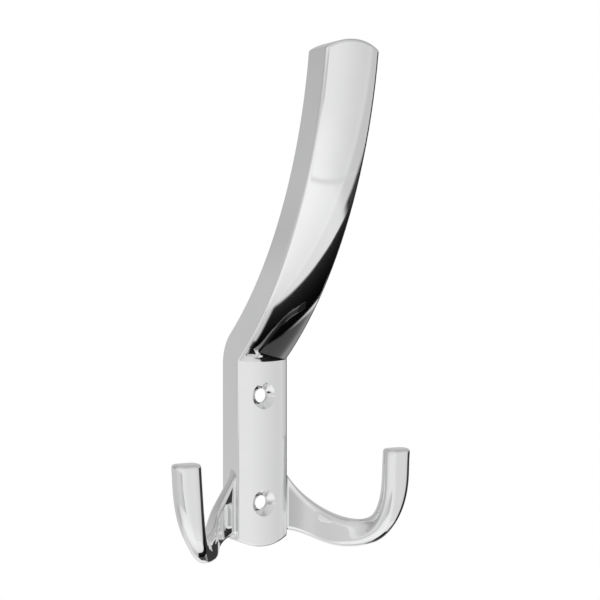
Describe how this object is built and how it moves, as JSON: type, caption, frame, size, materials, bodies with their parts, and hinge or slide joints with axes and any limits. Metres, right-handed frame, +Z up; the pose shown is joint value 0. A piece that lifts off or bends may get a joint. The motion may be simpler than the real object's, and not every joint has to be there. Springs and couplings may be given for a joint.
{
  "type": "triple robe hook",
  "caption": "Polished cast wall hook: a narrow screw plate with a long upper arm leaning forward and mirrored lower hooks curling outward, for hanging robes and coats.",
  "frame": {"origin": "on the wall plane, midway between the screw holes", "axes": "+Z up, -Y to the front (away from the wall), +X to the right seen from the front"},
  "size_m": [0.0784, 0.0605, 0.145],
  "materials": {
    "chrome": "bright polished chrome plate on a casting"
  },
  "bodies": {
    "root": {"robe_hook": "chrome"}
  },
  "joints": []
}
